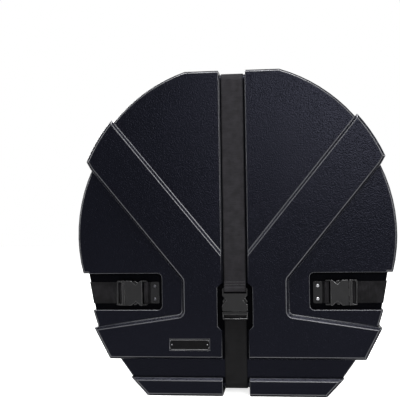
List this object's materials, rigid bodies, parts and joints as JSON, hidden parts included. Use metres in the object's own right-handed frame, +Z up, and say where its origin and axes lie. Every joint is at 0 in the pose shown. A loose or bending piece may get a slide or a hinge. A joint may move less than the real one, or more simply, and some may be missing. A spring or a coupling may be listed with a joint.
{
  "type": "bass drum hard case",
  "caption": "Two-part moulded hard case for a bass drum, with foam lining, webbing straps with side release buckles that hold the lid on, and a folding carrying handle.",
  "frame": {"origin": "on the floor, under the middle of the closed case", "axes": "+Z up; the lid and its buckles face -Y; +X is to the right of someone who looks at the lid"},
  "size_m": [0.7298, 0.5624, 0.767],
  "materials": {
    "shell": "pebble-grained moulded polyethylene, blue-black",
    "foam": "brushed red foam lining",
    "webbing": "ribbed woven webbing",
    "buckle": "satin moulded nylon",
    "plate": "black painted steel",
    "rivet": "bright rivet steel",
    "badge": "black with a thin pale border, bare",
    "bail": "black painted steel rod",
    "grip": "moulded black rubber",
    "bracket": "moulded black plastic"
  },
  "bodies": {
    "base": {"base_shell": "shell", "base_back_pad": "foam", "base_wall_lining": "foam", "center_strap_rear": "webbing", "right_strap_rear": "webbing", "left_strap_rear": "webbing", "right_base_anchor_plate": "plate", "right_base_anchor_rivet_1": "rivet", "right_base_anchor_rivet_2": "rivet", "left_base_anchor_plate": "plate", "left_base_anchor_rivet_1": "rivet", "left_base_anchor_rivet_2": "rivet", "top_strap_anchor_plate": "plate", "top_strap_anchor_rivet_1": "rivet", "top_strap_anchor_rivet_2": "rivet", "bottom_strap_anchor_plate": "plate", "bottom_strap_anchor_rivet_1": "rivet", "bottom_strap_anchor_rivet_2": "rivet", "handle_bracket_left": "bracket", "handle_bracket_right": "bracket", "handle_screw_left_1": "rivet", "handle_screw_left_2": "rivet", "handle_screw_right_1": "rivet", "handle_screw_right_2": "rivet"},
    "lid": {"lid_shell": "shell", "lid_face_pad": "foam", "lid_wall_lining": "foam", "center_strap_lower": "webbing", "center_plug": "buckle", "right_socket": "buckle", "right_socket_tab": "webbing", "right_lid_anchor_plate": "plate", "right_lid_anchor_rivet_1": "rivet", "right_lid_anchor_rivet_2": "rivet", "left_socket": "buckle", "left_socket_tab": "webbing", "left_lid_anchor_plate": "plate", "left_lid_anchor_rivet_1": "rivet", "left_lid_anchor_rivet_2": "rivet", "badge_plate": "badge", "badge_pin_left": "rivet", "badge_pin_right": "rivet"},
    "center_flap": {"center_strap_upper": "webbing", "center_socket": "buckle"},
    "right_flap": {"right_strap_front": "webbing", "right_plug": "buckle"},
    "left_flap": {"left_strap_front": "webbing", "left_plug": "buckle"},
    "center_left_arm": {"center_prong_left": "buckle"},
    "center_right_arm": {"center_prong_right": "buckle"},
    "right_upper_arm": {"right_prong_upper": "buckle"},
    "right_lower_arm": {"right_prong_lower": "buckle"},
    "left_upper_arm": {"left_prong_upper": "buckle"},
    "left_lower_arm": {"left_prong_lower": "buckle"},
    "handle": {"handle_bail": "bail", "handle_grip": "grip"}
  },
  "joints": [
    {"name": "lid_pull", "type": "slide", "parent": "base", "child": "lid", "axis": [0, -1, 0], "range_m": [0, 0.3]},
    {"name": "center_release", "type": "slide", "parent": "lid", "child": "center_flap", "axis": [0, 0, 1], "range_m": [0, 0.034], "deforming": ["center_prong_left", "center_prong_right"]},
    {"name": "right_release", "type": "slide", "parent": "lid", "child": "right_flap", "axis": [1, 0, 0], "range_m": [0, 0.034], "deforming": ["right_prong_upper", "right_prong_lower"]},
    {"name": "left_release", "type": "slide", "parent": "lid", "child": "left_flap", "axis": [-1, 0, 0], "range_m": [0, 0.034], "deforming": ["left_prong_upper", "left_prong_lower"]},
    {"name": "center_left_squeeze", "type": "hinge", "parent": "lid", "child": "center_left_arm", "pos_m": [-0.0195, -0.27415, 0.19282], "axis": [0, 1, 0], "range_deg": [0, 9], "stiffness_Nm_per_rad": 1.6},
    {"name": "center_right_squeeze", "type": "hinge", "parent": "lid", "child": "center_right_arm", "pos_m": [0.0195, -0.27415, 0.19282], "axis": [0, -1, 0], "range_deg": [0, 9], "stiffness_Nm_per_rad": 1.6},
    {"name": "right_upper_squeeze", "type": "hinge", "parent": "right_flap", "child": "right_upper_arm", "pos_m": [0.2572, -0.26015, 0.25398], "axis": [0, -1, 0], "range_deg": [0, 9], "stiffness_Nm_per_rad": 1.6},
    {"name": "right_lower_squeeze", "type": "hinge", "parent": "right_flap", "child": "right_lower_arm", "pos_m": [0.2572, -0.26015, 0.21498], "axis": [0, 1, 0], "range_deg": [0, 9], "stiffness_Nm_per_rad": 1.6},
    {"name": "left_upper_squeeze", "type": "hinge", "parent": "left_flap", "child": "left_upper_arm", "pos_m": [-0.2572, -0.26015, 0.25398], "axis": [0, 1, 0], "range_deg": [0, 9], "stiffness_Nm_per_rad": 1.6},
    {"name": "left_lower_squeeze", "type": "hinge", "parent": "left_flap", "child": "left_lower_arm", "pos_m": [-0.2572, -0.26015, 0.21498], "axis": [0, -1, 0], "range_deg": [0, 9], "stiffness_Nm_per_rad": 1.6},
    {"name": "handle_fold", "type": "hinge", "parent": "base", "child": "handle", "pos_m": [0, -0.01875, 0.756], "axis": [1, 0, 0], "range_deg": [0, 100]}
  ]
}
